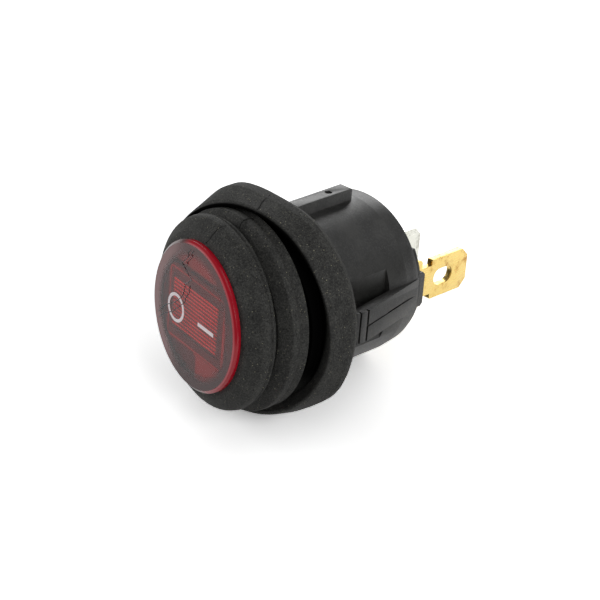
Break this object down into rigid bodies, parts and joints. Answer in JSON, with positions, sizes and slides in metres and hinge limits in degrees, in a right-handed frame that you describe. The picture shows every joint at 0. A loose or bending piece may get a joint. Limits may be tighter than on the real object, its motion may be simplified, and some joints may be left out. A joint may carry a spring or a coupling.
{
  "type": "waterproof round rocker switch",
  "caption": "Round panel rocker switch with a lit red face marked O and I, a black rubber bellows boot, snap-in nylon housing and flat blade tabs at the rear.",
  "frame": {"origin": "on the switch axis, in the plane where the rubber flange seats on the panel", "axes": "+Y along the barrel towards the tabs, +Z towards the key rib, +X towards the I side"},
  "size_m": [0.0268, 0.0381, 0.0268],
  "materials": {
    "nylon": "satin moulded nylon",
    "rubber": "matt rubber",
    "red_lens": "clear red, polished",
    "rocker_black": "satin",
    "red_window": "ribbed translucent red",
    "lamp_glass": "clear glass",
    "resistor_body": "lacquered",
    "brass_plate": "stamped brass",
    "spring_steel": "drawn wire",
    "plunger_nylon": "natural nylon",
    "silver": "silver plate"
  },
  "bodies": {
    "housing_body": {"housing": "nylon", "terminal_base": "nylon", "boot": "rubber", "fixed_contact": "silver", "common_terminal": "silver", "load_terminal": "silver", "lamp_terminal": "brass_plate", "lamp_spring_load": "spring_steel", "lamp_spring_ground": "spring_steel"},
    "rocker_body": {"rocker": "rocker_black", "lens": "red_lens", "window": "red_window", "lamp": "lamp_glass", "lamp_resistor": "resistor_body", "lamp_pin_load": "brass_plate", "lamp_pin_ground": "brass_plate", "plunger_spring": "spring_steel"},
    "plunger_body": {"plunger": "plunger_nylon"},
    "arm_body": {"contact_arm": "brass_plate", "moving_contact": "silver"}
  },
  "joints": [
    {"name": "rocker_pivot", "type": "hinge", "parent": "housing_body", "child": "rocker_body", "pos_m": [0, -0.002, 0], "axis": [0, 0, 1], "range_deg": [0, 26.6], "deforming": ["boot", "lamp_spring_load", "lamp_spring_ground"]},
    {"name": "plunger_slide", "type": "slide", "parent": "rocker_body", "child": "plunger_body", "axis": [-0.23, -0.9732, 0], "range_m": [0, 0.0006], "stiffness_N_per_m": 400, "deforming": ["plunger_spring"]},
    {"name": "arm_pivot", "type": "hinge", "parent": "housing_body", "child": "arm_body", "pos_m": [0, 0.00562, 0], "axis": [0, 0, 1], "range_deg": [-12.1, 0]}
  ],
  "couplings": [
    {"joint": "arm_pivot", "follows": "rocker_pivot", "ratio": -0.45113}
  ]
}
